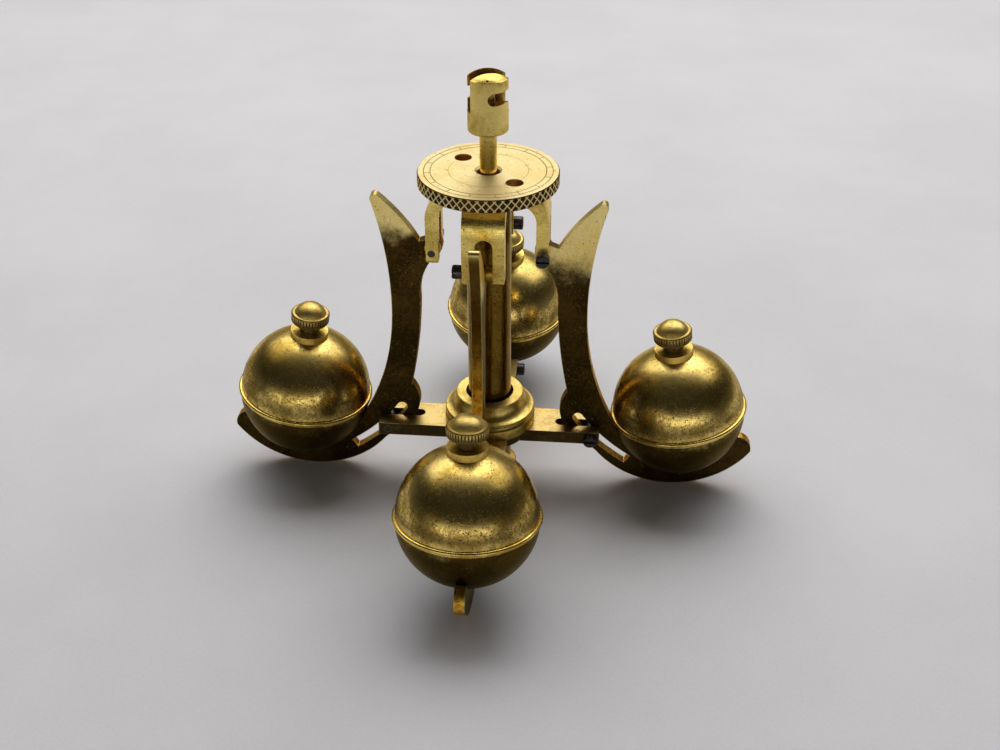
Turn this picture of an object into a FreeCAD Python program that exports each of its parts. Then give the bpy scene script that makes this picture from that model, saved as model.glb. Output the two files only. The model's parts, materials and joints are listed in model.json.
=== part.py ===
"""Four-ball centrifugal governor, one solid per file, in millimetres, +Z up.

The axis of rotation is Z. The feet of the arms and the foot of the drive collar stand on z = 0.
The first arm lies along +X; the other three are quarter turns of it.
"""
import FreeCAD
import Part
import math
import os

os.makedirs("parts", exist_ok=True)

V = FreeCAD.Vector
ORIGIN = V(0, 0, 0)
UP = V(0, 0, 1)
SIDES = ("right", "back", "left", "front")

# ---- linkage ----
PIVOT_R = 16.0          # arm pivot, distance from the axis
PIVOT_Z = 80.2          # arm pivot height
PIN_R = 31.5            # slot screw, distance from the axis
PIN_Z = 18.35           # slot screw height at rest
LIFT_PER_RAD = 84.0     # hub rise in mm for one radian of arm swing
SWING_OUT = 4.0         # degrees from rest to the outer stop
SWING_IN = 7.5          # degrees from rest to the inner stop
SLOT_TAIL = 9.2         # degrees covered by the lower end of the cam slot

# ---- arms ----
ARM_T = 3.0             # plate thickness
ARM_Y = -0.7            # middle plane of the first arm
BALL_R = 58.0           # ball centre, distance from the axis
BALL_Z = 28.0           # ball centre height
BALL_TILT = 7.5         # degrees the top of the ball leans towards the axis at rest
SEAT_RAD = 20.25        # cradle seat round the ball
FOOT_X = 56.5           # centre of the cradle's round underside
FOOT_RAD = 29.5
CAM_HALF = 1.6          # half width of the cam slot
SHANK_R = 1.5           # shoulder of every pivot and slot screw
THREAD_R = 1.1
RUN_GAP = 0.05          # radial running clearance

# ---- balls ----
SHELL_RAD = 20.2        # lower shell outside
UPPER_RAD = 19.95       # upper shell outside
CAVITY_RAD = 19.0
BEAD_R = 20.75
SEAM_Z = 0.6            # seam above the ball centre
BOSS_R = 5.7
BOSS_TOP = 21.3         # above the ball centre
BOSS_BORE = 2.65
CAP_R = 5.8
CAP_TEETH = 40
CAP_NECK_L = 3.0
CAP_KNURL_L = 3.2
CAP_DOME_H = 3.0

# ---- column ----
TUBE_R = 6.5
TUBE_BORE = 5.0
TUBE_FOOT = 1.6
TUBE_TOP = 99.7
COLLAR_R = 8.2
COLLAR_H = 5.0
COLLAR_SCREW_Z = 3.5
DRIVE_BORE_R = 2.5
DRIVE_BORE_L = 5.5

# ---- spider ----
LEG_IN = 14.0
LEG_OUT = 17.6
LEG_HALF = 6.0
LEG_BOTTOM = 76.9
LEG_CORNER = 1.3
SPIDER_TOP = 100.0
SPIDER_T = LEG_OUT - LEG_IN
BEND_OUT = 9.0
FORK_Y0 = -2.3
FORK_Y1 = 2.7
FORK_TOP = 91.0

# ---- adjusting disc ----
DISC_R = 20.0
DISC_Z = 100.3
DISC_T = 3.9
DISC_HOLE_R = 3.3
SCALE_OUT = 18.1
SCALE_IN = 16.3
SPANNER_PCR = 11.25     # spanner hole circle radius
SPANNER_R = 2.5
KNURL_N = 54
KNURL_DEPTH = 0.55
KNURL_ROW = 1.3         # half the height of one diamond
KNURL_FILL = 0.88       # share of each diamond that is recessed
SCALE_TICKS = 16

# ---- sliding group ----
ROD_R = 2.4
BAR_Z0 = 16.3
BAR_Z1 = 20.4
BAR_HALF = 6.2
BAR_END = 34.3
BAR_SLOT_IN = 20.5
BAR_SLOT_HALF = 1.8
RING_R = 11.5
HUB_R = 13.9
HUB_SEAM = 23.9
HUB_TOP = 30.7
PIN_RAD = 1.2
PIN_ANGLE = 45.0
HEAD_R = 5.68
HEAD_Z = 116.0
HEAD_RIM = 131.2
HEAD_DOME = 1.95
HEAD_ANGLE = 16.5
HEAD_SLOT = 4.2
HEAD_SLOT_DEEP = 9.4


# ---- small helpers ----
def cyl(r, z0, z1, x=0.0, y=0.0):
    return Part.makeCylinder(r, z1 - z0, V(x, y, z0), UP)


def ring(r_out, r_in, z0, z1):
    return cyl(r_out, z0, z1).cut(cyl(r_in, z0 - 1, z1 + 1))


def cyl_y(r, x, z, y0, y1):
    return Part.makeCylinder(r, y1 - y0, V(x, y0, z), V(0, 1, 0))


def box(x0, x1, y0, y1, z0, z1):
    return Part.makeBox(x1 - x0, y1 - y0, z1 - z0, V(x0, y0, z0))


def arc(a, mid, b):
    return Part.Arc(V(a[0], 0, a[1]), V(mid[0], 0, mid[1]), V(b[0], 0, b[1])).toShape()


def line(a, b):
    return Part.LineSegment(V(a[0], 0, a[1]), V(b[0], 0, b[1])).toShape()


def plate(edges, y0, y1):
    """A flat plate from edges drawn in the XZ plane, between two Y planes."""
    face = Part.Face(Part.Wire(Part.__sortEdges__(edges)))
    face.translate(V(0, y0, 0))
    return face.extrude(V(0, y1 - y0, 0))


def turned(points):
    """A solid of revolution about Z from (radius, z) points."""
    wire = Part.makePolygon([V(r, 0, z) for r, z in points + points[:1]])
    return Part.Face(wire).revolve(ORIGIN, UP, 360)


def spun(edges):
    face = Part.Face(Part.Wire(Part.__sortEdges__(edges)))
    return face.revolve(ORIGIN, UP, 360)


def around(shape, angle):
    turn = shape.copy()
    turn.rotate(ORIGIN, UP, angle)
    return turn


def polar(centre, radius, degrees):
    a = math.radians(degrees)
    return (centre[0] + radius * math.cos(a), centre[1] + radius * math.sin(a))


def save(name, shape):
    if shape.ShapeType == "Compound" and len(shape.Solids) == 1:
        shape = shape.Solids[0]
    shape.exportStep("parts/" + name + ".step")
    print(name, round(shape.Volume, 1), shape.isValid(), len(shape.Solids))


# ---- cam slot ----
def cam_point(degrees):
    """Centre of the slot screw in the arm's own frame when the arm has swung out by an angle."""
    t = math.radians(degrees)
    dx = PIN_R - PIVOT_R
    dz = PIN_Z + LIFT_PER_RAD * t - PIVOT_Z
    x = dx * math.cos(t) + dz * math.sin(t)
    z = -dx * math.sin(t) + dz * math.cos(t)
    return (PIVOT_R + x, PIVOT_Z + z)


def cam_slot():
    upper = []
    lower = []
    steps = 7
    first = SWING_OUT + 0.1
    for i in range(steps):
        t = first - (first + SLOT_TAIL) * i / (steps - 1)
        here = cam_point(t)
        ahead = cam_point(t - 0.05)
        run = math.hypot(ahead[0] - here[0], ahead[1] - here[1])
        nx = -(ahead[1] - here[1]) / run
        nz = (ahead[0] - here[0]) / run
        upper.append(V(here[0] + CAM_HALF * nx, 0, here[1] + CAM_HALF * nz))
        lower.append(V(here[0] - CAM_HALF * nx, 0, here[1] - CAM_HALF * nz))
    top = Part.BSplineCurve()
    top.interpolate(upper)
    low = Part.BSplineCurve()
    low.interpolate(lower)
    start = cam_point(first)
    beyond = cam_point(first + 0.5)
    run = math.hypot(beyond[0] - start[0], beyond[1] - start[1])
    tip = V(start[0] + CAM_HALF * (beyond[0] - start[0]) / run, 0,
            start[1] + CAM_HALF * (beyond[1] - start[1]) / run)
    nose = Part.Arc(upper[0], tip, lower[0]).toShape()
    tail = Part.LineSegment(upper[-1], lower[-1]).toShape()
    return plate([top.toShape(), tail, low.toShape(), nose], ARM_Y - ARM_T, ARM_Y + ARM_T)


# ---- one arm along +X ----
def arm_plate():
    ball = (BALL_R, BALL_Z)
    foot = (FOOT_X, FOOT_RAD)
    horn_out = (34.0, 94.2)
    horn_top = (31.8, 95.4)
    notch = (20.3, 81.4)
    waist = (29.2, 60.0)
    seat_in = polar(ball, SEAT_RAD, 219.0)
    seat_low = polar(ball, SEAT_RAD, 275.0)
    seat_out = polar(ball, SEAT_RAD, -29.0)
    tip_in = (76.6, 18.8)
    tip_out = polar(foot, FOOT_RAD, -33.0)
    toe_in = polar(foot, FOOT_RAD, 219.0)
    knob_low = (22.9, 21.6)
    knob_top = (24.0, 32.4)
    shin = (20.4, 62.0)
    throat = (16.9, 75.4)
    ear_low = polar((PIVOT_R, PIVOT_Z), 2.6, 215.0)
    ear_top = polar((PIVOT_R, PIVOT_Z), 2.6, 75.0)
    edges = [
        arc(horn_out, (30.3, 77.0), waist),
        arc(waist, (33.0, 35.0), seat_in),
        arc(seat_in, seat_low, seat_out),
        line(seat_out, tip_in),
        arc(tip_in, (79.8, 17.6), tip_out),
        arc(tip_out, polar(foot, FOOT_RAD, 270.0), toe_in),
        line(toe_in, knob_low),
        arc(knob_low, (21.8, 27.0), knob_top),
        arc(knob_top, (21.5, 47.3), shin),
        arc(shin, (19.4, 70.3), throat),
        line(throat, ear_low),
        arc(ear_low, polar((PIVOT_R, PIVOT_Z), 2.6, 150.0), ear_top),
        line(ear_top, notch),
        arc(notch, (25.6, 89.1), horn_top),
        arc(horn_top, (33.4, 95.6), horn_out),
    ]
    body = plate(edges, ARM_Y - ARM_T / 2, ARM_Y + ARM_T / 2)
    body = body.cut(cyl_y(SHANK_R + RUN_GAP, PIVOT_R, PIVOT_Z, -9, 9))
    body = body.cut(cam_slot())
    screw_hole = cyl(0.8, -1, 12, BALL_R, ARM_Y)
    sink = Part.makeCone(1.4, 0.8, 0.6, V(BALL_R, ARM_Y, 0.5), UP)
    recess = cyl(1.4, -1, 0.5, BALL_R, ARM_Y)
    return body.cut(screw_hole).cut(sink).cut(recess)


def at_ball(shape):
    """Move a shape drawn round the origin to the ball's place and lean."""
    shape.rotate(ORIGIN, V(0, 1, 0), -BALL_TILT)
    shape.translate(V(BALL_R, ARM_Y, BALL_Z))
    return shape


def ball_lower():
    rim = math.sqrt(CAVITY_RAD ** 2 - SEAM_Z ** 2)
    lip = (math.sqrt(SHELL_RAD ** 2 - 0.49), -0.7)
    edges = [
        arc((0, -SHELL_RAD), polar((0, 0), SHELL_RAD, -45.0), lip),
        arc(lip, (BEAD_R, -0.1), (20.15, SEAM_Z)),
        line((20.15, SEAM_Z), (rim, SEAM_Z)),
        arc((rim, SEAM_Z), polar((0, 0), CAVITY_RAD, -45.0), (0, -CAVITY_RAD)),
        line((0, -CAVITY_RAD), (0, -SHELL_RAD)),
    ]
    shell = at_ball(spun(edges))
    return shell.cut(cyl(0.8, BALL_Z - 21, BALL_Z - 18, BALL_R, ARM_Y))


def ball_upper():
    rim_in = math.sqrt(CAVITY_RAD ** 2 - SEAM_Z ** 2)
    rim_out = math.sqrt(UPPER_RAD ** 2 - SEAM_Z ** 2)
    edges = [
        arc((0, UPPER_RAD), polar((0, 0), UPPER_RAD, 45.0), (rim_out, SEAM_Z)),
        line((rim_out, SEAM_Z), (rim_in, SEAM_Z)),
        arc((rim_in, SEAM_Z), polar((0, 0), CAVITY_RAD, 45.0), (0, CAVITY_RAD)),
        line((0, CAVITY_RAD), (0, UPPER_RAD)),
    ]
    shell = spun(edges).cut(cyl(4.0, 17, 21))
    return at_ball(shell)


def filler_boss():
    flange = cyl(BOSS_R, 18.0, BOSS_TOP).cut(Part.makeSphere(UPPER_RAD))
    spigot = cyl(4.0, 17.6, BOSS_TOP)
    boss = flange.fuse(spigot).cut(cyl(BOSS_BORE, 17, 23)).removeSplitter()
    return at_ball(boss)


def filler_cap():
    base = BOSS_TOP
    knurl0 = base + CAP_NECK_L
    knurl1 = knurl0 + CAP_KNURL_L
    outline = [
        (0, base - 3.9), (2.3, base - 3.9), (2.6, base - 3.6), (2.6, base + 0.05),
        (3.1, base + 0.05), (3.1, base + 1.3), (2.95, base + 1.45), (3.1, base + 1.6),
        (3.2, knurl0 - 0.5), (4.9, knurl0), (5.35, knurl0), (CAP_R - 0.1, knurl0 + 0.5),
        (CAP_R, knurl1 - 0.35), (5.6, knurl1), (4.75, knurl1), (4.65, knurl1 + 0.25),
        (0, knurl1 + 0.25),
    ]
    body = turned(outline)
    dome_foot = (4.65, knurl1 + 0.25)
    dome_top = (0, knurl1 + CAP_DOME_H)
    edges = [
        arc(dome_foot, (2.98, knurl1 + 2.2), dome_top),
        line(dome_top, (0, knurl1 + 0.1)),
        line((0, knurl1 + 0.1), (4.65, knurl1 + 0.1)),
        line((4.65, knurl1 + 0.1), dome_foot),
    ]
    body = body.fuse(spun(edges))
    groove = Part.Face(Part.makePolygon([
        V(CAP_R - 0.42, 0, knurl0 - 1), V(CAP_R + 0.3, 0.40, knurl0 - 1),
        V(CAP_R + 0.3, -0.40, knurl0 - 1), V(CAP_R - 0.42, 0, knurl0 - 1)]))
    tooth = groove.extrude(V(0, 0, 1 + CAP_KNURL_L - 0.35))
    teeth = [around(tooth, 360.0 * i / CAP_TEETH) for i in range(CAP_TEETH)]
    body = body.cut(Part.Compound(teeth)).removeSplitter()
    return at_ball(body)


def ball_screw():
    shank = cyl(0.8, 0.5, 10.9, BALL_R, ARM_Y)
    head = Part.makeCone(1.4, 0.8, 0.6, V(BALL_R, ARM_Y, 0.5), UP)
    slot = box(BALL_R - 2, BALL_R + 2, ARM_Y - 0.2, ARM_Y + 0.2, 0.4, 0.8)
    return shank.fuse(head).cut(slot).removeSplitter()


def ball_nut():
    nut = cyl(2.5, 8.0, 10.9, BALL_R, ARM_Y)
    cavity = Part.makeSphere(CAVITY_RAD, V(BALL_R, ARM_Y, BALL_Z))
    return nut.common(cavity).cut(cyl(0.8, 7, 12, BALL_R, ARM_Y))


# ---- screws ----
def shoulder_screw(x, z, y_head, y_step, y_end, head_r, head_h):
    """Slotted screw along Y with its head on the -Y side."""
    head = cyl_y(head_r, x, z, y_head - head_h, y_head)
    rim = head.Edges
    head = head.makeChamfer(0.3, [e for e in rim if abs(e.BoundBox.YMax - y_head + head_h) < 0.01])
    shank = cyl_y(SHANK_R, x, z, y_head, y_step)
    thread = cyl_y(THREAD_R, x, z, y_step, y_end)
    slot = box(x - head_r - 1, x + head_r + 1, y_head - head_h - 1, y_head - head_h + 1.0,
               z - 0.35, z + 0.35)
    return head.fuse(shank).fuse(thread).cut(slot).removeSplitter()


def pivot_screw():
    return shoulder_screw(PIVOT_R, PIVOT_Z, -LEG_HALF, FORK_Y1, LEG_HALF, 2.0, 2.8)


def slot_screw():
    return shoulder_screw(PIN_R, PIN_Z, -BAR_HALF, ARM_Y + BAR_SLOT_HALF, BAR_HALF, 2.0, 2.4)


def pivot_spacer():
    low = ARM_Y + ARM_T / 2 + 0.05
    body = cyl_y(2.4, PIVOT_R, PIVOT_Z, low, FORK_Y1)
    return body.cut(cyl_y(SHANK_R, PIVOT_R, PIVOT_Z, low - 1, FORK_Y1 + 1))


# ---- column ----
def column_tube():
    tube = ring(TUBE_R, TUBE_BORE, TUBE_FOOT, TUBE_TOP)
    travel_up = LIFT_PER_RAD * math.radians(SWING_OUT)
    travel_down = LIFT_PER_RAD * math.radians(SWING_IN)
    slot_lo = BAR_Z1 - travel_down - 0.3
    slot_hi = BAR_Z1 + travel_up + 0.3
    half = PIN_RAD + 0.1
    slot = box(-9, 9, -half, half, slot_lo, slot_hi)
    for z in (slot_lo, slot_hi):
        slot = slot.fuse(Part.makeCylinder(half, 18, V(-9, 0, z), V(1, 0, 0)))
    return tube.cut(around(slot, PIN_ANGLE))


def collar_screw_axis(radius, start, end):
    body = Part.makeCylinder(radius, end - start, V(start, 0, COLLAR_SCREW_Z), V(1, 0, 0))
    return around(body, 135.0)


def drive_collar():
    body = turned([(0, 0), (7.7, 0), (COLLAR_R, 0.5), (COLLAR_R, COLLAR_H - 0.4),
                   (COLLAR_R - 0.4, COLLAR_H), (0, COLLAR_H)])
    body = body.fuse(cyl(TUBE_BORE, COLLAR_H - 1, COLLAR_H + 2))
    body = body.cut(ring(TUBE_R, TUBE_BORE, TUBE_FOOT, COLLAR_H + 3))
    body = body.cut(cyl(DRIVE_BORE_R, -1, DRIVE_BORE_L))
    return body.cut(collar_screw_axis(1.0, TUBE_R, 9.0)).removeSplitter()


def collar_screw():
    body = collar_screw_axis(1.0, TUBE_R, COLLAR_R - 0.3)
    slot = around(box(COLLAR_R - 0.8, 9, -2, 2, COLLAR_SCREW_Z - 0.2, COLLAR_SCREW_Z + 0.2), 135.0)
    return body.cut(slot)


def spider():
    cx = LEG_OUT - BEND_OUT
    cz = SPIDER_TOP - BEND_OUT
    inner = BEND_OUT - SPIDER_T
    c45 = math.cos(math.radians(45))
    toe = 0.7
    edges = [
        line((0, SPIDER_TOP), (cx, SPIDER_TOP)),
        arc((cx, SPIDER_TOP), (cx + BEND_OUT * c45, cz + BEND_OUT * c45), (LEG_OUT, cz)),
        line((LEG_OUT, cz), (LEG_OUT, LEG_BOTTOM + toe)),
        line((LEG_OUT, LEG_BOTTOM + toe), (LEG_OUT - toe, LEG_BOTTOM)),
        line((LEG_OUT - toe, LEG_BOTTOM), (LEG_IN + toe, LEG_BOTTOM)),
        line((LEG_IN + toe, LEG_BOTTOM), (LEG_IN, LEG_BOTTOM + toe)),
        line((LEG_IN, LEG_BOTTOM + toe), (LEG_IN, cz)),
        arc((LEG_IN, cz), (cx + inner * c45, cz + inner * c45), (cx, SPIDER_TOP - SPIDER_T)),
        line((cx, SPIDER_TOP - SPIDER_T), (0, SPIDER_TOP - SPIDER_T)),
        line((0, SPIDER_TOP - SPIDER_T), (0, SPIDER_TOP)),
    ]
    strip = plate(edges, -LEG_HALF, LEG_HALF)
    mid = (FORK_Y0 + FORK_Y1) / 2
    half = (FORK_Y1 - FORK_Y0) / 2
    fork = box(10, 22, FORK_Y0, FORK_Y1, 70, FORK_TOP - half)
    fork = fork.fuse(Part.makeCylinder(half, 12, V(10, mid, FORK_TOP - half), V(1, 0, 0)))
    strip = strip.cut(fork)
    corner = box(10, 22, LEG_HALF - LEG_CORNER, 10, 70, LEG_BOTTOM + LEG_CORNER)
    corner = corner.cut(Part.makeCylinder(
        LEG_CORNER, 12, V(10, LEG_HALF - LEG_CORNER, LEG_BOTTOM + LEG_CORNER), V(1, 0, 0)))
    strip = strip.cut(corner)
    strip = strip.cut(cyl_y(SHANK_R, PIVOT_R, PIVOT_Z, -10, mid))
    strip = strip.cut(cyl_y(THREAD_R, PIVOT_R, PIVOT_Z, mid, 10))
    body = cyl(12.0, SPIDER_TOP - SPIDER_T, SPIDER_TOP)
    for i in range(4):
        body = body.fuse(around(strip, 90.0 * i))
    body = body.cut(cyl(TUBE_R, 90, 101))
    return body.removeSplitter()


# ---- adjusting disc ----
def knurl_pits():
    """Recessed diamonds in five staggered rows, with the raised ridges of the knurl left between them."""
    outside = DISC_R + 0.06
    grow = KNURL_FILL * (outside - DISC_R + KNURL_DEPTH) / KNURL_DEPTH
    wide = grow * math.pi * DISC_R / KNURL_N
    high = grow * KNURL_ROW
    apex = V(DISC_R - KNURL_DEPTH, 0, 0)
    rim = [V(outside, wide, 0), V(outside, 0, high), V(outside, -wide, 0), V(outside, 0, -high)]
    faces = [Part.Face(Part.makePolygon(rim + rim[:1]))]
    for i in range(4):
        side = [apex, rim[i], rim[(i + 1) % 4], apex]
        faces.append(Part.Face(Part.makePolygon(side)))
    pit = Part.makeSolid(Part.makeShell(faces))
    pits = []
    for row in range(-2, 3):
        level = DISC_Z + DISC_T / 2 + row * KNURL_ROW
        phase = 0.5 * (row % 2)
        for i in range(KNURL_N):
            one = pit.copy()
            one.translate(V(0, 0, level))
            pits.append(around(one, 360.0 * (i + phase) / KNURL_N))
    return Part.Compound(pits)


def scribed_circle(radius, width, depth):
    top = DISC_Z + DISC_T
    return turned([(radius - width / 2, top + 0.01), (radius, top - depth),
                   (radius + width / 2, top + 0.01)])


def adjusting_disc():
    top = DISC_Z + DISC_T
    body = turned([(0, DISC_Z), (DISC_R - 0.35, DISC_Z), (DISC_R, DISC_Z + 0.35),
                   (DISC_R, top - 0.3), (DISC_R - 0.3, top), (0, top)])
    body = body.cut(knurl_pits())
    body = body.fuse(cyl(TUBE_BORE - 0.07, 88.0, DISC_Z + 0.5))
    body = body.cut(cyl(DISC_HOLE_R, 91.0, top + 1))
    body = body.cut(cyl(ROD_R + RUN_GAP, 87.0, 92.0))
    body = body.cut(Part.makeCone(DISC_HOLE_R, DISC_HOLE_R + 0.6, 0.6, V(0, 0, top - 0.6), UP))
    for angle in (135.0, -45.0):
        x, y = polar((0, 0), SPANNER_PCR, angle)
        body = body.cut(cyl(SPANNER_R, DISC_Z - 1, top + 1, x, y))
    body = body.cut(scribed_circle(SCALE_OUT, 0.3, 0.2))
    body = body.cut(scribed_circle(SCALE_IN, 0.3, 0.2))
    body = body.cut(scribed_circle(SPANNER_PCR, 0.16, 0.1))
    tick = box(SCALE_IN, SCALE_OUT, -0.13, 0.13, top - 0.18, top + 0.5)
    ticks = [around(tick, 11.25 + 360.0 * i / SCALE_TICKS) for i in range(SCALE_TICKS)]
    body = body.cut(Part.Compound(ticks))
    return body.removeSplitter()


def thrust_washer():
    return ring(TUBE_BORE - 0.1, ROD_R + 0.2, 87.2, 88.0)


# ---- sliding group ----
def cross_pin():
    body = Part.makeCylinder(PIN_RAD, 20.4, V(-10.2, 0, BAR_Z1), V(1, 0, 0))
    return around(body, PIN_ANGLE)


def hub_screw_places():
    return [polar((0, 0), 9.2, 90.0 * i) for i in range(4)]


def cross_bars():
    body = cyl(RING_R, BAR_Z0, BAR_Z1)
    bar = box(0, BAR_END, -BAR_HALF, BAR_HALF, BAR_Z0, BAR_Z1)
    centre = BAR_SLOT_IN + BAR_SLOT_HALF
    slot = box(centre, BAR_END + 2, ARM_Y - BAR_SLOT_HALF, ARM_Y + BAR_SLOT_HALF, 15, 22)
    slot = slot.fuse(cyl(BAR_SLOT_HALF, 15, 22, centre, ARM_Y))
    bar = bar.cut(slot)
    bar = bar.cut(cyl_y(SHANK_R, PIN_R, PIN_Z, -8, ARM_Y))
    bar = bar.cut(cyl_y(THREAD_R, PIN_R, PIN_Z, ARM_Y, 8))
    for i in range(4):
        body = body.fuse(around(bar, 90.0 * i))
    body = body.cut(cyl(TUBE_R + 0.35, 10, 25))
    body = body.cut(cross_pin())
    for x, y in hub_screw_places():
        body = body.cut(cyl(1.0, 15, 25, x, y))
        body = body.cut(Part.makeCone(2.0, 1.0, 1.0, V(x, y, BAR_Z0), UP))
    return body.removeSplitter()


def hub_body():
    edges = [
        line((TUBE_R + RUN_GAP, BAR_Z1), (HUB_R - 0.35, BAR_Z1)),
        arc((HUB_R - 0.35, BAR_Z1), (HUB_R, BAR_Z1 + 1.7), (HUB_R - 0.2, HUB_SEAM - 0.2)),
        line((HUB_R - 0.2, HUB_SEAM - 0.2), (HUB_R - 0.4, HUB_SEAM)),
        line((HUB_R - 0.4, HUB_SEAM), (TUBE_R + RUN_GAP, HUB_SEAM)),
        line((TUBE_R + RUN_GAP, HUB_SEAM), (TUBE_R + RUN_GAP, BAR_Z1)),
    ]
    body = spun(edges).cut(cross_pin())
    for x, y in hub_screw_places():
        body = body.cut(cyl(1.0, BAR_Z1 - 1, HUB_SEAM - 0.5, x, y))
    return body


def hub_cap():
    flange = 26.0
    edges = [
        line((TUBE_R + RUN_GAP, HUB_SEAM), (13.1, HUB_SEAM)),
        line((13.1, HUB_SEAM), (13.1, 25.0)),
        line((13.1, 25.0), (13.6, 25.1)),
        line((13.6, 25.1), (13.75, flange - 0.35)),
        line((13.75, flange - 0.35), (13.5, flange)),
        arc((13.5, flange), (11.15, 27.2), (10.4, 29.4)),
        line((10.4, 29.4), (10.4, HUB_TOP - 0.3)),
        line((10.4, HUB_TOP - 0.3), (10.1, HUB_TOP)),
        line((10.1, HUB_TOP), (7.3, HUB_TOP)),
        line((7.3, HUB_TOP), (7.3, 25.5)),
        line((7.3, 25.5), (TUBE_R + RUN_GAP, 25.5)),
        line((TUBE_R + RUN_GAP, 25.5), (TUBE_R + RUN_GAP, HUB_SEAM)),
    ]
    return spun(edges)


def hub_screws():
    screws = []
    for x, y in hub_screw_places():
        body = cyl(1.0, BAR_Z0, HUB_SEAM - 0.5, x, y)
        body = body.fuse(Part.makeCone(2.0, 1.0, 1.0, V(x, y, BAR_Z0), UP))
        body = body.cut(box(x - 3, x + 3, y - 0.25, y + 0.25, BAR_Z0 - 1, BAR_Z0 + 0.5))
        screws.append(body.removeSplitter())
    return Part.Compound(screws)


def lower_guide():
    body = ring(TUBE_BORE - RUN_GAP, ROD_R, 18.7, 26.8)
    return body.cut(cross_pin())


def spindle():
    body = turned([(0, 18.7), (ROD_R - 0.3, 18.7), (ROD_R, 19.0), (ROD_R, 119.5), (0, 119.5)])
    return body.cut(cross_pin())


def coupling_head():
    c = (HEAD_R ** 2 - HEAD_DOME ** 2) / (2 * HEAD_DOME)
    dome = HEAD_R ** 2 / (2 * HEAD_DOME) + HEAD_DOME / 2
    mid = (HEAD_R / 2, HEAD_RIM - c + math.sqrt(dome ** 2 - (HEAD_R / 2) ** 2))
    edges = [
        line((0, HEAD_Z), (HEAD_R - 0.6, HEAD_Z)),
        arc((HEAD_R - 0.6, HEAD_Z), (HEAD_R - 0.18, HEAD_Z + 0.18), (HEAD_R, HEAD_Z + 0.6)),
        line((HEAD_R, HEAD_Z + 0.6), (HEAD_R, HEAD_RIM)),
        arc((HEAD_R, HEAD_RIM), mid, (0, HEAD_RIM + HEAD_DOME)),
        line((0, HEAD_RIM + HEAD_DOME), (0, HEAD_Z)),
    ]
    body = spun(edges).cut(cyl(ROD_R, HEAD_Z - 1, 119.5))
    slot = box(-9, 9, -HEAD_SLOT / 2, HEAD_SLOT / 2, HEAD_RIM - HEAD_SLOT_DEEP, HEAD_RIM + 5)
    body = body.cut(around(slot, HEAD_ANGLE))
    high = 3.5
    z_mid = HEAD_RIM - 4.6
    sweep = 84.0
    notch = Part.makeCylinder(9, high, V(0, 0, z_mid - high / 2), UP, sweep)
    notch = notch.cut(cyl(2.6, z_mid - 5, z_mid + 5))
    notch.rotate(ORIGIN, UP, HEAD_ANGLE - sweep)
    end = Part.makeCylinder(high / 2, 9, V(0, 0, z_mid), V(1, 0, 0)).cut(cyl(2.6, 100, 140))
    notch = notch.fuse(around(end, HEAD_ANGLE - sweep))
    for turn in (0.0, 180.0):
        body = body.cut(around(notch, turn))
    dot = polar((0, 0), HEAD_R - 0.8, -86.0)
    body = body.cut(Part.makeSphere(0.45, V(dot[0], dot[1], HEAD_RIM + 0.35)))
    return body.removeSplitter()


def compression_spring():
    wire = 0.45
    z0 = 26.8 + wire
    z1 = 87.2 - wire
    turns = 14
    helix = Part.makeHelix((z1 - z0) / turns, z1 - z0, 3.75)
    start = Part.Wire(Part.makeCircle(wire, V(3.75, 0, 0), V(0, 1, 0)))
    coil = Part.Wire(helix.Edges).makePipeShell([start], True, True)
    coil.translate(V(0, 0, z0))
    return coil


def build():
    save("column_tube", column_tube())
    save("drive_collar", drive_collar())
    save("collar_screw", collar_screw())
    save("spider", spider())
    save("adjusting_disc", adjusting_disc())
    save("thrust_washer", thrust_washer())
    save("spindle", spindle())
    save("coupling_head", coupling_head())
    save("hub_cap", hub_cap())
    save("hub_body", hub_body())
    save("hub_screws", hub_screws())
    save("cross_bars", cross_bars())
    save("cross_pin", cross_pin())
    save("lower_guide", lower_guide())
    save("compression_spring", compression_spring())
    per_arm = {
        "arm": arm_plate(),
        "ball_lower": ball_lower(),
        "ball_upper": ball_upper(),
        "filler_boss": filler_boss(),
        "filler_cap": filler_cap(),
        "ball_screw": ball_screw(),
        "ball_nut": ball_nut(),
        "pivot_screw": pivot_screw(),
        "slot_screw": slot_screw(),
    }
    for index, side in enumerate(SIDES):
        for name, shape in per_arm.items():
            save(name + "_" + side, around(shape, 90.0 * index))
    spacer = pivot_spacer()
    save("pivot_spacers", Part.Compound([around(spacer, 90.0 * i) for i in range(4)]))


build()
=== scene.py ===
"""Four-ball centrifugal governor: finishes, floor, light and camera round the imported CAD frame.

Lengths are in metres, except in local coordinates (p and q below), which are in millimetres.
"""
import json
import math

import bpy
from mathutils import Matrix, Vector


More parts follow.
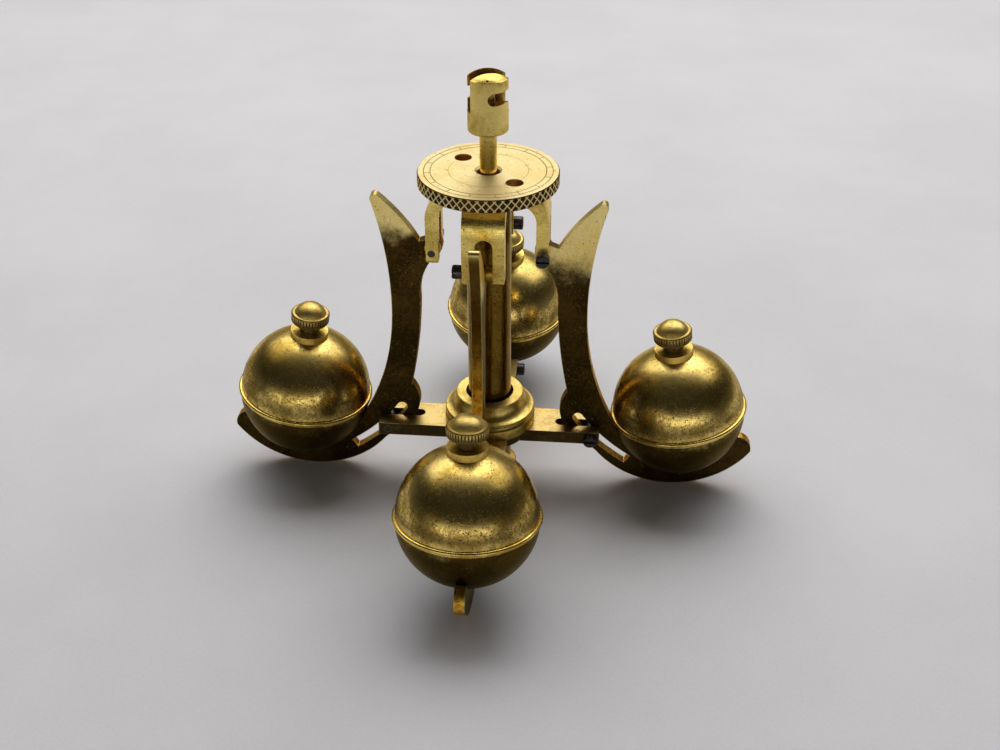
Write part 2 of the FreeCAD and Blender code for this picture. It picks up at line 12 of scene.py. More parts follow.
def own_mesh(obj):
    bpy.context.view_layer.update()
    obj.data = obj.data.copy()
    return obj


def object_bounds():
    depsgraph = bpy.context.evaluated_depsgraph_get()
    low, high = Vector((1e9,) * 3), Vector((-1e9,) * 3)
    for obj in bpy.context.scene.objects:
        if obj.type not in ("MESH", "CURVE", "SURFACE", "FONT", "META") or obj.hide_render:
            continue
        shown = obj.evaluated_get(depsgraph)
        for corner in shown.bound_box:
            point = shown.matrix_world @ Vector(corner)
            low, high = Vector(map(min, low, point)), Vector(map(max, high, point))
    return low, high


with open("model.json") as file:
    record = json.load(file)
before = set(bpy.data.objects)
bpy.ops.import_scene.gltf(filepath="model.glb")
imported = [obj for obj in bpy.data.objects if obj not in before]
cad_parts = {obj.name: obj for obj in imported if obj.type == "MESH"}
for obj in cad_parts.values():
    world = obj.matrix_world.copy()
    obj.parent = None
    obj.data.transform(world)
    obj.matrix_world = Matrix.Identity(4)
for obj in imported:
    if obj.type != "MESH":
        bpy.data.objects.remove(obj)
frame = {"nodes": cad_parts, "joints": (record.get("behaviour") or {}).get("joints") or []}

CAD_BOX = [list(corner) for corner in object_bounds()]
JOINTS = {j["name"]: j for j in frame["joints"]}
SIDES = ("right", "back", "left", "front")
MM = 0.001
CAP_ABOVE_CENTRE = 0.022  # the filler cap's joint lies this far up the ball's axis
SCRATCH_TURNS = ((0.4, 0.9, 0.3), (1.3, 0.2, 1.1), (0.1, 2.0, 2.3))
SCRATCH_MM = (7.0, 0.30, 0.30)


# ---------------------------------------------------------------- node helper
class Finish:
    """A material and short names for the nodes it is built from.

    Every value may be a number, a tuple or a socket.
    """

    def __init__(self, name):
        self.mat = bpy.data.materials.new(name)
        self.mat.use_nodes = True
        self.tree = self.mat.node_tree
        self.tree.nodes.clear()
        out = self.tree.nodes.new("ShaderNodeOutputMaterial")
        self.bsdf = self.tree.nodes.new("ShaderNodeBsdfPrincipled")
        self.tree.links.new(self.bsdf.outputs[0], out.inputs["Surface"])

    def put(self, socket, value):
        if isinstance(value, bpy.types.NodeSocket):
            self.tree.links.new(value, socket)
        else:
            socket.default_value = value

    def node(self, kind, inputs=(), **attrs):
        n = self.tree.nodes.new(kind)
        for key, value in attrs.items():
            setattr(n, key, value)
        for key, value in dict(inputs).items():
            self.put(n.inputs[key], value)
        return n

    def math(self, op, a, b=0.0, c=0.0):
        n = self.node("ShaderNodeMath", {0: a, 1: b, 2: c}, operation=op)
        return n.outputs[0]

    def vec(self, op, a, b=(0, 0, 0)):
        n = self.node("ShaderNodeVectorMath", {0: a, 1: b}, operation=op)
        return n.outputs["Value" if op in ("LENGTH", "DOT_PRODUCT", "DISTANCE") else "Vector"]

    def split(self, v):
        n = self.node("ShaderNodeSeparateXYZ", {0: v})
        return n.outputs[0], n.outputs[1], n.outputs[2]

    def join(self, x, y, z):
        return self.node("ShaderNodeCombineXYZ", {0: x, 1: y, 2: z}).outputs[0]

    def scaled(self, v, x, y, z):
        return self.vec("MULTIPLY", v, (x, y, z))

    def noise(self, v, scale, detail=2.0, rough=0.5, twist=0.0):
        values = {"Vector": v, "Scale": scale, "Detail": detail, "Roughness": rough, "Distortion": twist}
        return self.node("ShaderNodeTexNoise", values).outputs[0]

    def ramp(self, x, low, high, to_low=0.0, to_high=1.0):
        """x from low to high, eased, becomes to_low to to_high."""
        n = self.node(
            "ShaderNodeMapRange",
            {"Value": x, "From Min": low, "From Max": high, "To Min": to_low, "To Max": to_high},
            interpolation_type="SMOOTHSTEP",
        )
        return n.outputs[0]

    def mix(self, fac, a, b):
        n = self.node("ShaderNodeMix", data_type="RGBA")
        self.put(n.inputs[0], fac)
        for i, colour in ((6, a), (7, b)):
            plain = not isinstance(colour, bpy.types.NodeSocket)
            self.put(n.inputs[i], (*colour, 1.0) if plain else colour)
        return n.outputs[2]

    def bump(self, height, strength, distance, normal=None):
        values = {"Strength": strength, "Distance": distance, "Height": height}
        n = self.node("ShaderNodeBump", values)
        if normal is not None:
            self.put(n.inputs["Normal"], normal)
        return n.outputs[0]

    def local_mm(self, centre=(0, 0, 0), turn=(0, 0, 0), shift=0.0):
        """(p, q): millimetres in the frame at centre, turned by Euler angles.

        q is p moved by shift, for patterns that should differ from piece to piece.
        """
        coords = self.node("ShaderNodeTexCoord").outputs["Object"]
        values = {"Vector": coords, "Location": centre, "Rotation": turn, "Scale": (MM, MM, MM)}
        p = self.node("ShaderNodeMapping", values, vector_type="TEXTURE").outputs[0]
        return p, self.vec("ADD", p, (shift, 1.7 * shift, 2.3 * shift))

    def pits(self, v, size, share):
        """Small round pits, size mm apart, in that share of the cells. share may be a socket."""
        n = self.node("ShaderNodeTexVoronoi", {"Vector": v, "Scale": 1.0 / size, "Randomness": 1.0})
        here = self.node("ShaderNodeSeparateColor", {0: n.outputs["Color"]}).outputs[0]
        chosen = self.math("LESS_THAN", here, share)
        return self.math("MULTIPLY", chosen, self.ramp(n.outputs["Distance"], 0.20, 0.42, 1.0, 0.0))

    def scratches(self, v):
        """Short fine scratches lying in a few directions."""
        total = 0.0
        for i, turn in enumerate(SCRATCH_TURNS):
            place = (31.0 * i, 17.0 * i, 5.0)
            values = {"Vector": v, "Location": place, "Rotation": turn, "Scale": SCRATCH_MM}
            lie = self.node("ShaderNodeMapping", values, vector_type="TEXTURE").outputs[0]
            one_way = self.ramp(self.noise(lie, 1.0, 1.0, 0.5, 0.2), 0.69, 0.73)
            total = self.math("ADD", total, one_way)
        return self.math("MULTIPLY", total, self.ramp(self.noise(v, 0.14, 2.0), 0.47, 0.57))

    def edge(self, radius):
        """(rounded normal, how near an edge the point is)."""
        n = self.node("ShaderNodeBevel", {"Radius": radius}, samples=4)
        flat = self.node("ShaderNodeNewGeometry").outputs["Normal"]
        turned = self.vec("DOT_PRODUCT", n.outputs[0], flat)
        return n.outputs[0], self.ramp(turned, 0.995, 0.86)


# ---------------------------------------------------------------- colours
BRIGHT = (0.86, 0.63, 0.17)
PALE = (0.91, 0.72, 0.28)
GOLD = (0.62, 0.41, 0.07)
OLIVE = (0.36, 0.26, 0.050)
BROWN = (0.070, 0.042, 0.012)
ORANGE = (0.60, 0.30, 0.04)
SOOT_AND_SHADE = (0.018, 0.012, 0.006)


def brass(
    name,
    centre=(0, 0, 0),
    turn=(0, 0, 0),
    shift=0.0,
    clean=BRIGHT,
    toned=GOLD,
    rough=(0.20, 0.34),
    film_and_shade=0.1,
    film_and_shade_colour=BROWN,
    film_cloud=1.6,
    film_mottle=1.2,
    pit=(0.55, 0.16),
    orange=0.5,
    grain=None,
    grain_mix=0.35,
    grain_bump=0.10,
    dents=0.0,
    edge=0.12,
    wear=0.6,
    corner_shade_amount=0.7,
    patch_scale=0.10,
    scratch=0.25,
    olive=0.28,
    lumps=0.35,
    dull=None,
    shade=None,
):
    """Old unlacquered brass: clean metal, olive toning, dark tarnish, pits, orange spots, tool
    marks, painted shade in the corners and bright worn edges.

    The film argument gives how much dark tarnish there is, from 0 to 1, as a number or a function
    of the local coordinates; the functions some finishes pass in add painted shade. grain turns
    the local coordinates into those of the tool marks.
    dull(f, p) adds to the roughness. shade(f, p, colour) changes the colour before the edges
    are worn.
    """
    f = Finish(name)
    p, q = f.local_mm(centre, turn, shift)
    cloud = f.math("SUBTRACT", f.noise(q, patch_scale, 3.0, 0.55, 0.5), 0.5)
    mottle = f.math("SUBTRACT", f.noise(q, 0.8, 6.0, 0.72), 0.5)
    fine = f.noise(q, 3.2, 3.0, 0.6)
    tone = f.ramp(f.math("ADD", cloud, f.math("MULTIPLY", mottle, 0.6)), -0.12, 0.16)
    colour = f.mix(tone, clean, toned)
    colour = f.mix(f.math("MULTIPLY", f.ramp(fine, 0.42, 0.68), olive), colour, OLIVE)
    lines = None
    if grain is not None:
        lines = f.noise(grain(f, p), 1.0, 3.0, 0.62)
        colour = f.mix(f.math("MULTIPLY", f.ramp(lines, 0.52, 0.72), grain_mix), colour, OLIVE)
    spots = f.ramp(f.noise(q, 0.9, 3.0, 0.7), 0.63, 0.72)
    colour = f.mix(f.math("MULTIPLY", spots, orange), colour, ORANGE)
    # Darkening: tarnish, and painted shade where a finish passes in a function for it.
    level = film_and_shade(f, p) if callable(film_and_shade) else film_and_shade
    level = f.math("ADD", level, f.math("MULTIPLY", cloud, film_cloud))
    dark = f.ramp(f.math("ADD", level, f.math("MULTIPLY", mottle, film_mottle)), 0.0, 1.0)
    thick, thin = tuple(0.6 * c for c in film_and_shade_colour), tuple(1.7 * c for c in film_and_shade_colour)
    film_and_shade_tone = f.mix(f.ramp(f.math("ADD", mottle, cloud), -0.15, 0.25), thick, thin)
    colour = f.mix(dark, colour, film_and_shade_tone)
    scored = f.scratches(q)
    colour = f.mix(f.math("MULTIPLY", scored, scratch), colour, GOLD)
    holes = f.pits(q, pit[0], f.math("MULTIPLY", f.ramp(level, -0.25, 0.45, 0.25, 1.0), pit[1]))
    colour = f.mix(f.math("MULTIPLY", holes, 0.75), colour, SOOT_AND_SHADE)
    if shade is not None:
        colour = shade(f, p, colour)
    # Painted shade: the colour is darkened where ambient occlusion finds corners, creases and recesses.
    corner_shade = 0.0
    if corner_shade_amount:
        reach = {"Distance": 0.0016}
        corner = f.node("ShaderNodeAmbientOcclusion", reach, only_local=True, samples=6)
        corner_shade = f.math("MULTIPLY", f.ramp(corner.outputs["AO"], 0.80, 0.35), corner_shade_amount)
        colour = f.mix(corner_shade, colour, SOOT_AND_SHADE)
    normal, rim = f.edge(edge * MM)
    worn = f.math("MULTIPLY", rim, f.ramp(mottle, -0.2, 0.05, 0.3 * wear, wear))
    colour = f.mix(worn, colour, PALE)
    f.put(f.bsdf.inputs["Base Color"], colour)
    f.bsdf.inputs["Metallic"].default_value = 1.0
    f.bsdf.inputs["Specular Tint"].default_value = (1.0, 0.88, 0.62, 1.0)
    r = f.ramp(f.math("ADD", f.math("MULTIPLY", cloud, 0.5), mottle), -0.18, 0.2, rough[0], rough[1])
    if lines is not None:
        r = f.math("ADD", r, f.ramp(lines, 0.35, 0.7, 0.0, 0.08))
    r = f.math("ADD", r, f.math("MULTIPLY", dark, 0.12))
    r = f.math("ADD", r, f.math("MULTIPLY", holes, 0.25))
    r = f.math("ADD", r, f.math("MULTIPLY", scored, 0.3 * scratch))
    if dull is not None:
        r = f.math("ADD", r, dull(f, p))
    f.put(f.bsdf.inputs["Roughness"], r)
    height = f.math("SUBTRACT", f.math("MULTIPLY", f.noise(q, 1.9, 4.0, 0.62), 0.35), holes)
    normal = f.bump(height, lumps, 0.00006, normal)
    if lines is not None:
        normal = f.bump(lines, grain_bump, 0.0002, normal)
    if dents:
        normal = f.bump(f.noise(q, 0.13, 2.0, 0.5), dents, 0.004, normal)
    f.put(f.bsdf.inputs["Normal"], normal)
    return f.mat


# ---------------------------------------------------------------- tool marks
def turned(f, p, fine=9.0):
    """Rings round the local Z axis."""
    x, y, z = f.split(p)
    r = f.vec("LENGTH", f.join(x, y, 0.0))
    return f.join(f.math("MULTIPLY", r, fine), f.math("MULTIPLY", z, fine), 0.0)


def turned_wavy(f, p):
    """Rings, broken up a little round the axis, as a worn tool or a polishing cloth leaves them."""
    x, y, z = f.split(p)
    r = f.vec("LENGTH", f.join(x, y, 0.0))
    turn = f.math("ARCTAN2", y, x)
    return f.join(f.math("MULTIPLY", r, 6.0), f.math("MULTIPLY", z, 6.0), f.math("MULTIPLY", turn, 1.4))


def along_z(f, p):
    return f.scaled(p, 5.0, 5.0, 0.22)


def across_z(f, p):
    return f.scaled(p, 0.25, 0.25, 6.0)


def along_x(f, p):
    return f.scaled(p, 0.16, 5.0, 5.0)


# ---------------------------------------------------------------- places
def side_turn(side):
    return (0.0, 0.0, math.radians(90 * SIDES.index(side)))


def ball_place(side):
    """Ball centre and the Euler turn of its axis, from the filler cap's joint."""
    j = JOINTS["cap_turn_" + side]
    axis = Vector(j["axis"]).normalized()
    centre = Vector(j["pos_m"]) - CAP_ABOVE_CENTRE * axis
    turn = side_turn(side)[2]
    out = Vector((math.cos(turn), math.sin(turn), 0))
    lean = math.atan2(axis.dot(out), axis.z)
    return tuple(centre), (0.0, lean, turn)


def give(node, mat):
    o = frame["nodes"][node]
    o.data.materials.clear()
    o.data.materials.append(mat)


# ---------------------------------------------------------------- finishes
DARK_OLIVE = (0.105, 0.068, 0.018)


def lower_shell_film_and_shade(f, p):
    """Clean on the bead at the seam, darker and darker below it, as tarnish and as painted shade in
    place of dark reflections.
    """
    x, y, z = f.split(p)
    return f.math("MULTIPLY_ADD", f.ramp(z, -0.7, -1.3), f.ramp(z, -1.0, -5.0, 1.22, 1.45), -0.35)


def upper_shell_film_and_shade(f, p):
    x, y, z = f.split(p)
    # Painted shade: the belt round the middle and the band just above the seam are darkened in place of
    # dark reflections. The shell is also darker close under the filler boss.
    belt = f.math("MULTIPLY", f.ramp(z, 0.8, 3.5), f.ramp(z, 17.0, 10.0))
    collar = f.ramp(z, 18.4, 19.3)
    foot = f.math("MULTIPLY", f.ramp(z, 0.5, 1.2), f.ramp(z, 7.0, 2.5))
    film_and_shade = f.math("ADD", f.math("MULTIPLY", belt, 0.46), f.math("MULTIPLY", collar, 0.45))
    return f.math("ADD", film_and_shade, f.math("MULTIPLY_ADD", foot, 0.30, -0.08))


def crown_dull(f, p):
    """Satin round the filler boss, more polished down the side."""
    x, y, z = f.split(p)
    return f.ramp(z, 11.5, 16.5, 0.0, 0.12)


def arm_painted_shade(side):
    """The horns are left bright; below the pivot the plate is darkened as painted shade, in place of
    dark reflections, with an uneven border.
    """
    # Painted shade: the left arm darkens from higher up than the right, as the left side lies away from
    # the light.
    start, end = {"left": (91.5, 80.0), "right": (88.0, 66.0)}.get(side, (90.0, 74.0))

    def film_and_shade(f, p):
        x, y, z = f.split(p)
        wander = f.noise(f.vec("ADD", p, (91.0, 13.0, 7.0)), 0.08, 4.0, 0.55)
        drift = f.math("MULTIPLY_ADD", wander, 20.0, -10.0)
        return f.ramp(f.math("ADD", z, drift), start, end, -0.40, 1.05)

    return film_and_shade


def arm_edge_rust_and_shade(side):
    """The arm's narrow faces: orange and pitted, with painted shade on the outward faces, darker
    towards the top; the inside of the horn keeps the plate's bright colour."""
    turn = Matrix.Rotation(side_turn(side)[2], 3, "Z")
    across, outward = turn @ Vector((0, 1, 0)), turn @ Vector((1, 0, 0))

    def shade(f, p, colour):
        normal = f.node("ShaderNodeTexCoord").outputs["Normal"]
        flat = f.math("ABSOLUTE", f.vec("DOT_PRODUCT", normal, tuple(across)))
        x, y, z = f.split(p)
        facing_out = f.ramp(f.vec("DOT_PRODUCT", normal, tuple(outward)), -0.3, 0.1)
        outer = f.math("MULTIPLY", facing_out, f.ramp(z, 98.0, 92.0))
        height = f.math("MAXIMUM", f.ramp(z, 88.0, 82.0), outer)
        narrow = f.math("MULTIPLY", f.ramp(flat, 0.75, 0.45), height)
        rust = f.ramp(f.noise(p, 0.5, 4.0, 0.65), 0.40, 0.62)
        edge = f.mix(rust, (0.72, 0.43, 0.060), (0.42, 0.19, 0.018))
        # Painted shade: the narrow faces darken upwards from z 44 to 70, fully on the outward faces and
        # only a little on the inward ones.
        dark = f.ramp(z, 44.0, 70.0, 0.0, 0.92)
        dark = f.math("MULTIPLY", dark, f.math("MAXIMUM", facing_out, 0.15))
        edge = f.mix(dark, edge, (0.045, 0.021, 0.004))
        edge = f.mix(f.pits(p, 0.5, 0.4), edge, SOOT_AND_SHADE)
        return f.mix(f.math("MULTIPLY", narrow, 0.95), colour, edge)

    return shade


def cap_film(f, p):
    """Dark on the neck and in the knurl's grooves."""
    x, y, z = f.split(p)
    r = f.vec("LENGTH", f.join(x, y, 0.0))
    groove = f.math("MULTIPLY", f.ramp(r, 5.80, 5.72), f.ramp(r, 5.25, 5.4))
    groove = f.math("MAXIMUM", groove, f.math("MULTIPLY", f.ramp(r, 5.5, 5.6), 0.35))
    neck = f.ramp(z, 24.4, 24.0)
    return f.math("MULTIPLY_ADD", f.math("MAXIMUM", groove, neck), 0.95, -0.08)


def disc_film_and_shade(f, p):
    """Dark in the recesses of the knurl, clean on its ridges and on the flat, with painted shade down
    inside the holes.
    """
    x, y, z = f.split(p)
    r = f.vec("LENGTH", f.join(x, y, 0.0))
    up = f.split(f.node("ShaderNodeTexCoord").outputs["Normal"])[2]
    rim = f.math("MULTIPLY", f.ramp(r, 19.1, 19.3), f.ramp(up, 0.95, 0.80))
    pit = f.math("MULTIPLY", rim, f.ramp(r, 19.985, 19.91))
    # Painted shade: darker down inside the spanner holes.
    hole = f.math("MULTIPLY", f.ramp(r, 16.0, 15.0), f.ramp(z, 104.0, 103.0, 0.0, 0.22))
    return f.math("MULTIPLY_ADD", f.math("MAXIMUM", pit, hole), 1.35, -0.15)


def disc_holes(f, p, colour):
    """Orange on the walls of the holes."""
    x, y, z = f.split(p)
    r = f.vec("LENGTH", f.join(x, y, 0.0))
    up = f.math("ABSOLUTE", f.split(f.node("ShaderNodeTexCoord").outputs["Normal"])[2])
    wall = f.math("MULTIPLY", f.ramp(r, 15.5, 15.0), f.ramp(up, 0.5, 0.3))
    wall = f.math("MULTIPLY", wall, f.ramp(z, 104.0, 103.7))
    return f.mix(f.math("MULTIPLY", wall, 0.85), colour, (0.60, 0.26, 0.04))


def bar_painted_shade(f, p):
    # Painted shade: the bars' sides are darkened; their top and bottom faces stay clean.
    normal = f.node("ShaderNodeTexCoord").outputs["Normal"]
    up = f.math("ABSOLUTE", f.split(normal)[2])
    return f.ramp(up, 0.8, 0.4, 0.05, 0.95)


def spider_painted_shade(f, p):
    """Painted shade on top, under the disc, and clean down the legs."""
    x, y, z = f.split(p)
    return f.ramp(z, 99.2, 99.8, -0.12, 0.8)


def head_slot_shade(f, p, colour):
    """Painted shade, reddish brown, inside the coupling head's slots."""
    x, y, z = f.split(p)
    r = f.vec("LENGTH", f.join(x, y, 0.0))
    inside = f.math("MULTIPLY", f.ramp(r, 5.25, 4.9), f.ramp(z, 132.0, 131.2))
    inside = f.math("MULTIPLY", inside, f.ramp(z, 117.0, 118.5))
    return f.mix(f.math("MULTIPLY", inside, 0.75), colour, (0.22, 0.085, 0.022))


def finish_sides():
    for i, side in enumerate(SIDES):
        centre, lean = ball_place(side)
        about = dict(centre=centre, turn=lean, shift=37.0 * (i + 1))
        give("ball_upper_" + side, brass(
            "ball_upper_" + side, **about, clean=(0.79, 0.58, 0.18), toned=(0.50, 0.33, 0.065),
            rough=(0.15, 0.26), film_and_shade=upper_shell_film_and_shade, film_and_shade_colour=DARK_OLIVE, film_cloud=1.3,
            film_mottle=1.1, pit=(0.6, 0.55), orange=0.35, dents=0.04, edge=0.10, wear=0.8,
            dull=crown_dull,
        ))
        give("ball_lower_" + side, brass(
            "ball_lower_" + side, **about, toned=(0.45, 0.29, 0.060), rough=(0.22, 0.32),
            film_and_shade=lower_shell_film_and_shade, film_and_shade_colour=(0.042, 0.024, 0.005), film_cloud=0.9,
            film_mottle=0.7, pit=(0.55, 0.25), orange=0.3, dents=0.04, edge=0.10, wear=0.9,
        ))
        give("filler_boss_" + side, brass(
            "boss_" + side, **about, toned=(0.58, 0.41, 0.10), rough=(0.29, 0.39), grain=turned,
            film_and_shade=0.0, pit=(0.5, 0.08), edge=0.12,
        ))
        give("filler_cap_" + side, brass(
            "cap_" + side, **about, clean=(0.76, 0.57, 0.19), toned=(0.54, 0.38, 0.095),
            rough=(0.29, 0.42), grain=turned_wavy, grain_mix=0.7, grain_bump=0.3, film_and_shade=cap_film,
            film_and_shade_colour=DARK_OLIVE, film_cloud=0.9, pit=(0.5, 0.12), edge=0.10, wear=0.95,
            corner_shade_amount=0.9,
        ))
        turn = side_turn(side)
        arm = brass(
            "arm_" + side, turn=turn, shift=19.0 * (i + 1), clean=(0.97, 0.80, 0.33),
            toned=(0.92, 0.70, 0.22), rough=(0.24, 0.34), grain=along_z, grain_mix=0.25,
            film_and_shade=arm_painted_shade(side), film_and_shade_colour=(0.047, 0.027, 0.006), film_cloud=0.45,
            film_mottle=0.6, olive=0.12, pit=(0.6, 0.2), orange=0.35, edge=0.42, wear=0.85,
            patch_scale=0.06, scratch=0.35, shade=arm_edge_rust_and_shade(side),
        )
        give("arm_" + side, arm)


def steel(name, colour, rough, shift=0.0):
    f = Finish(name)
    p, q = f.local_mm(shift=shift)
    mottle = f.noise(q, 1.2, 5.0, 0.65)
    normal, rim = f.edge(0.08 * MM)
    base = f.mix(f.ramp(mottle, 0.35, 0.7), colour, tuple(0.45 * c for c in colour))
    rust = f.ramp(f.noise(q, 2.4, 3.0, 0.7), 0.60, 0.72)
    base = f.mix(f.math("MULTIPLY", rust, 0.5), base, (0.09, 0.045, 0.018))
    worn = tuple(min(1.0, 3.2 * c + 0.05) for c in colour)
    base = f.mix(f.math("MULTIPLY", rim, 0.6), base, worn)
    f.put(f.bsdf.inputs["Base Color"], base)
    f.bsdf.inputs["Metallic"].default_value = 0.9
    f.put(f.bsdf.inputs["Roughness"], f.ramp(mottle, 0.3, 0.7, rough, rough + 0.18))
    f.put(f.bsdf.inputs["Normal"], f.bump(f.noise(q, 4.0, 3.0, 0.6), 0.3, 0.00005, normal))
    return f.mat


def finish_middle():
    give("column_tube", brass(
        "tube", shift=5.0, clean=(0.17, 0.095, 0.012), toned=(0.095, 0.045, 0.005),
        rough=(0.11, 0.19), grain=along_z, grain_mix=0.25, grain_bump=0.05, film_and_shade=0.35,
        film_and_shade_colour=(0.07, 0.034, 0.006), film_cloud=0.9, film_mottle=0.5, orange=0.6,
        pit=(0.6, 0.2), wear=0.4,
    ))
    give("drive_collar", brass(
        "drive_collar", shift=9.0, rough=(0.24, 0.36), grain=turned, film_and_shade=0.3,
    ))
    give("spider", brass(
        "spider", shift=13.0, clean=(0.96, 0.74, 0.22), toned=(0.64, 0.46, 0.10),
        rough=(0.17, 0.26), grain=across_z, grain_mix=0.6, grain_bump=0.2, film_and_shade=spider_painted_shade,
        film_and_shade_colour=DARK_OLIVE, film_cloud=0.6, pit=(0.6, 0.12), edge=0.2, wear=0.8,
    ))
    give("adjusting_disc", brass(
        "disc", shift=21.0, clean=(0.82, 0.69, 0.375), toned=(0.75, 0.60, 0.285),
        rough=(0.40, 0.50), lumps=0.9, grain=turned, grain_mix=0.2, film_and_shade=disc_film_and_shade,
        film_and_shade_colour=(0.075, 0.045, 0.012), film_cloud=0.4, film_mottle=0.5, orange=0.3,
        pit=(0.6, 0.10), edge=0.04, wear=0.8, corner_shade_amount=0.5, scratch=0.15, shade=disc_holes,
    ))
    give("thrust_washer", brass("thrust_washer", shift=23.0, grain=turned))
    give("spindle", brass(
        "spindle", shift=25.0, clean=(0.78, 0.58, 0.16), toned=(0.60, 0.42, 0.09),
        rough=(0.16, 0.28), grain=turned, film_and_shade=-0.12, orange=0.2,
    ))
    give("coupling_head", brass(
        "coupling_head", shift=27.0, clean=(0.82, 0.62, 0.20), toned=(0.62, 0.45, 0.11),
        rough=(0.15, 0.24), grain=turned, film_and_shade=-0.05, pit=(0.5, 0.10), edge=0.14, wear=0.8,
        shade=head_slot_shade,
    ))
    give("hub_cap", brass(
        "hub_cap", shift=31.0, clean=(0.78, 0.58, 0.18), toned=(0.48, 0.33, 0.07),
        rough=(0.29, 0.39), grain=turned, grain_mix=0.5, film_and_shade=0.0, film_and_shade_colour=DARK_OLIVE,
        pit=(0.5, 0.1), edge=0.14, wear=0.9,
    ))
    give("hub_body", brass(
        "hub_body", shift=33.0, clean=(0.62, 0.45, 0.11), toned=(0.35, 0.23, 0.04),
        rough=(0.29, 0.39), grain=turned, grain_mix=0.5, film_and_shade=0.08, film_and_shade_colour=DARK_OLIVE,
        pit=(0.5, 0.12), edge=0.14, wear=0.9,
    ))
    give("cross_bars", brass(
        "cross_bars", shift=41.0, clean=(0.58, 0.43, 0.17), toned=(0.42, 0.29, 0.095),
        rough=(0.30, 0.42), grain=along_x, film_and_shade=bar_painted_shade, film_and_shade_colour=(0.075, 0.048, 0.016),
        film_cloud=0.7, film_mottle=0.7, pit=(0.6, 0.2), edge=0.2, wear=0.8,
    ))
    give("lower_guide", brass("lower_guide", shift=43.0, grain=turned))
    give("pivot_spacers", brass("pivot_spacers", shift=45.0, grain=turned))
    black = steel("black_steel", (0.080, 0.074, 0.070), 0.28)
    bright = steel("bright_steel", (0.50, 0.50, 0.50), 0.22, 7.0)
    spring = steel("spring_steel", (0.22, 0.22, 0.23), 0.28, 11.0)
    give("collar_screw", black)
    give("hub_screws", black)
    give("cross_pin", bright)
    give("compression_spring", spring)
    for side in SIDES:
        give("pivot_screw_" + side, black)
        give("slot_screw_" + side, black)
        give("ball_screw_" + side, black)
        give("ball_nut_" + side, bright)


def ease_spring():
    """Gives the spring a mesh of its own."""
    node = frame["nodes"]["compression_spring"]
    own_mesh(node)


# ---------------------------------------------------------------- set and light
LAMP_PLACE = (0.0, 0.48, 0.77)
LAMP_SIZE = (1.9, 0.80)
LAMP_WATTS = 8.0
SKY_STRENGTH = 0.8  # a wide sun from the lamp's side, which lights the floor further out
SKY_SPREAD_DEG = 50.0
FRONT_GLOW = 1.5  # world strength low in front of the object

CAMERA_PLACE = (0.0331, -0.3387, 0.2564)
CAMERA_DOWN_DEG = 32.93
CAMERA_ROLL_DEG = 0.08
CAMERA_YAW_DEG = 5.0
CAMERA_LENS_MM = 47.53
CAMERA_SENSOR_MM = 36.0


def mesh_object(name, verts, faces):
    me = bpy.data.meshes.new(name)
    me.from_pydata(verts, [], faces)
    o = bpy.data.objects.new(name, me)
    bpy.context.scene.collection.objects.link(o)
    return o


def make_floor():
    half, z = 2.2, CAD_BOX[0][2]
    corners = [(-half, -half, z), (half, -half, z), (half, half, z), (-half, half, z)]
    floor = mesh_object("floor", corners, [(0, 1, 2, 3)])
    f = Finish("floor")
    p, q = f.local_mm()
    blot = f.noise(q, 0.012, 5.0, 0.6)
    tooth = f.noise(q, 1.1, 3.0, 0.7)
    both = f.math("ADD", f.math("MULTIPLY", blot, 0.6), f.math("MULTIPLY", tooth, 0.4))
    paper = f.mix(f.ramp(both, 0.35, 0.65), (0.76, 0.75, 0.77), (0.82, 0.81, 0.83))
    f.put(f.bsdf.inputs["Base Color"], paper)
    f.bsdf.inputs["Roughness"].default_value = 0.85
    f.bsdf.inputs["Specular IOR Level"].default_value = 0.2
    f.put(f.bsdf.inputs["Normal"], f.bump(tooth, 0.25, 0.0003))
    floor.data.materials.append(f.mat)


def area_light(name, place, aim, size, power, colour):
    lamp = bpy.data.lights.new(name, "AREA")
    lamp.shape = "RECTANGLE"
    lamp.size, lamp.size_y = size
    lamp.energy = power
    lamp.color = colour
    o = bpy.data.objects.new(name, lamp)
    o.location = place
    o.rotation_euler = (Vector(aim) - Vector(place)).to_track_quat("-Z", "Y").to_euler()
    bpy.context.scene.collection.objects.link(o)


def sun(place, aim, strength, spread_deg):
    lamp = bpy.data.lights.new("sky", "SUN")
    lamp.energy = strength
    lamp.angle = math.radians(spread_deg)
    o = bpy.data.objects.new("sky", lamp)
    o.rotation_euler = (Vector(aim) - Vector(place)).to_track_quat("-Z", "Y").to_euler()
    bpy.context.scene.collection.objects.link(o)


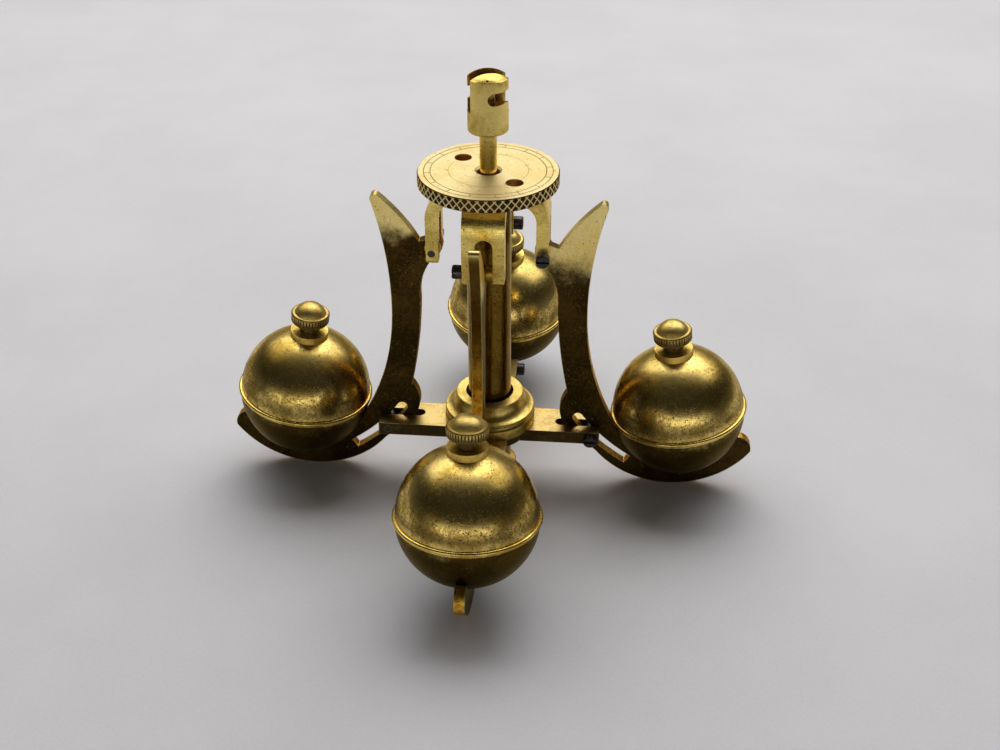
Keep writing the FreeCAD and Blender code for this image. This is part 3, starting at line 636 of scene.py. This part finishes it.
def make_light():
    middle = (0, 0, 0.05)
    area_light("overhead", LAMP_PLACE, middle, LAMP_SIZE, LAMP_WATTS, (1.0, 0.985, 0.97))
    sun(LAMP_PLACE, middle, SKY_STRENGTH, SKY_SPREAD_DEG)
    world = bpy.data.worlds.new("studio")
    bpy.context.scene.world = world
    world.use_nodes = True
    world.node_tree.nodes.clear()
    t = world.node_tree
    sep = t.nodes.new("ShaderNodeSeparateXYZ")
    t.links.new(t.nodes.new("ShaderNodeTexCoord").outputs["Generated"], sep.inputs[0])

    def ramp(source, low, high, to_low, to_high):
        n = t.nodes.new("ShaderNodeMapRange")
        n.interpolation_type = "SMOOTHSTEP"
        t.links.new(source, n.inputs["Value"])
        values = {"From Min": low, "From Max": high, "To Min": to_low, "To Max": to_high}
        for key, value in values.items():
            n.inputs[key].default_value = value
        return n.outputs[0]

    def combine(op, a, b):
        n = t.nodes.new("ShaderNodeMath")
        n.operation = op
        t.links.new(a, n.inputs[0])
        t.links.new(b, n.inputs[1])
        return n.outputs[0]

    y, z = sep.outputs[1], sep.outputs[2]
    dim = ramp(z, 0.05, 0.40, 0.10, 0.03)
    low = combine("MULTIPLY", ramp(z, -0.25, 0.06, 0.0, 1.0), ramp(z, 0.12, 0.36, 1.0, 0.0))
    front = combine("MULTIPLY", low, ramp(y, -0.35, -0.95, 0.0, FRONT_GLOW))
    bg = t.nodes.new("ShaderNodeBackground")
    bg.inputs["Color"].default_value = (1.0, 0.975, 0.94, 1.0)
    t.links.new(combine("ADD", dim, front), bg.inputs["Strength"])
    out = t.nodes.new("ShaderNodeOutputWorld")
    t.links.new(bg.outputs[0], out.inputs["Surface"])


def make_camera():
    data = bpy.data.cameras.new("camera")
    data.sensor_width = CAMERA_SENSOR_MM
    data.lens = CAMERA_LENS_MM
    data.clip_start = 0.01
    data.clip_end = 20.0
    o = bpy.data.objects.new("camera", data)
    o.location = CAMERA_PLACE
    angles = (90 - CAMERA_DOWN_DEG, CAMERA_ROLL_DEG, CAMERA_YAW_DEG)
    o.rotation_euler = tuple(math.radians(a) for a in angles)
    bpy.context.scene.collection.objects.link(o)
    bpy.context.scene.camera = o


make_camera()
finish_sides()
finish_middle()
ease_spring()
make_floor()
make_light()
bpy.context.scene.view_settings.view_transform = "Standard"
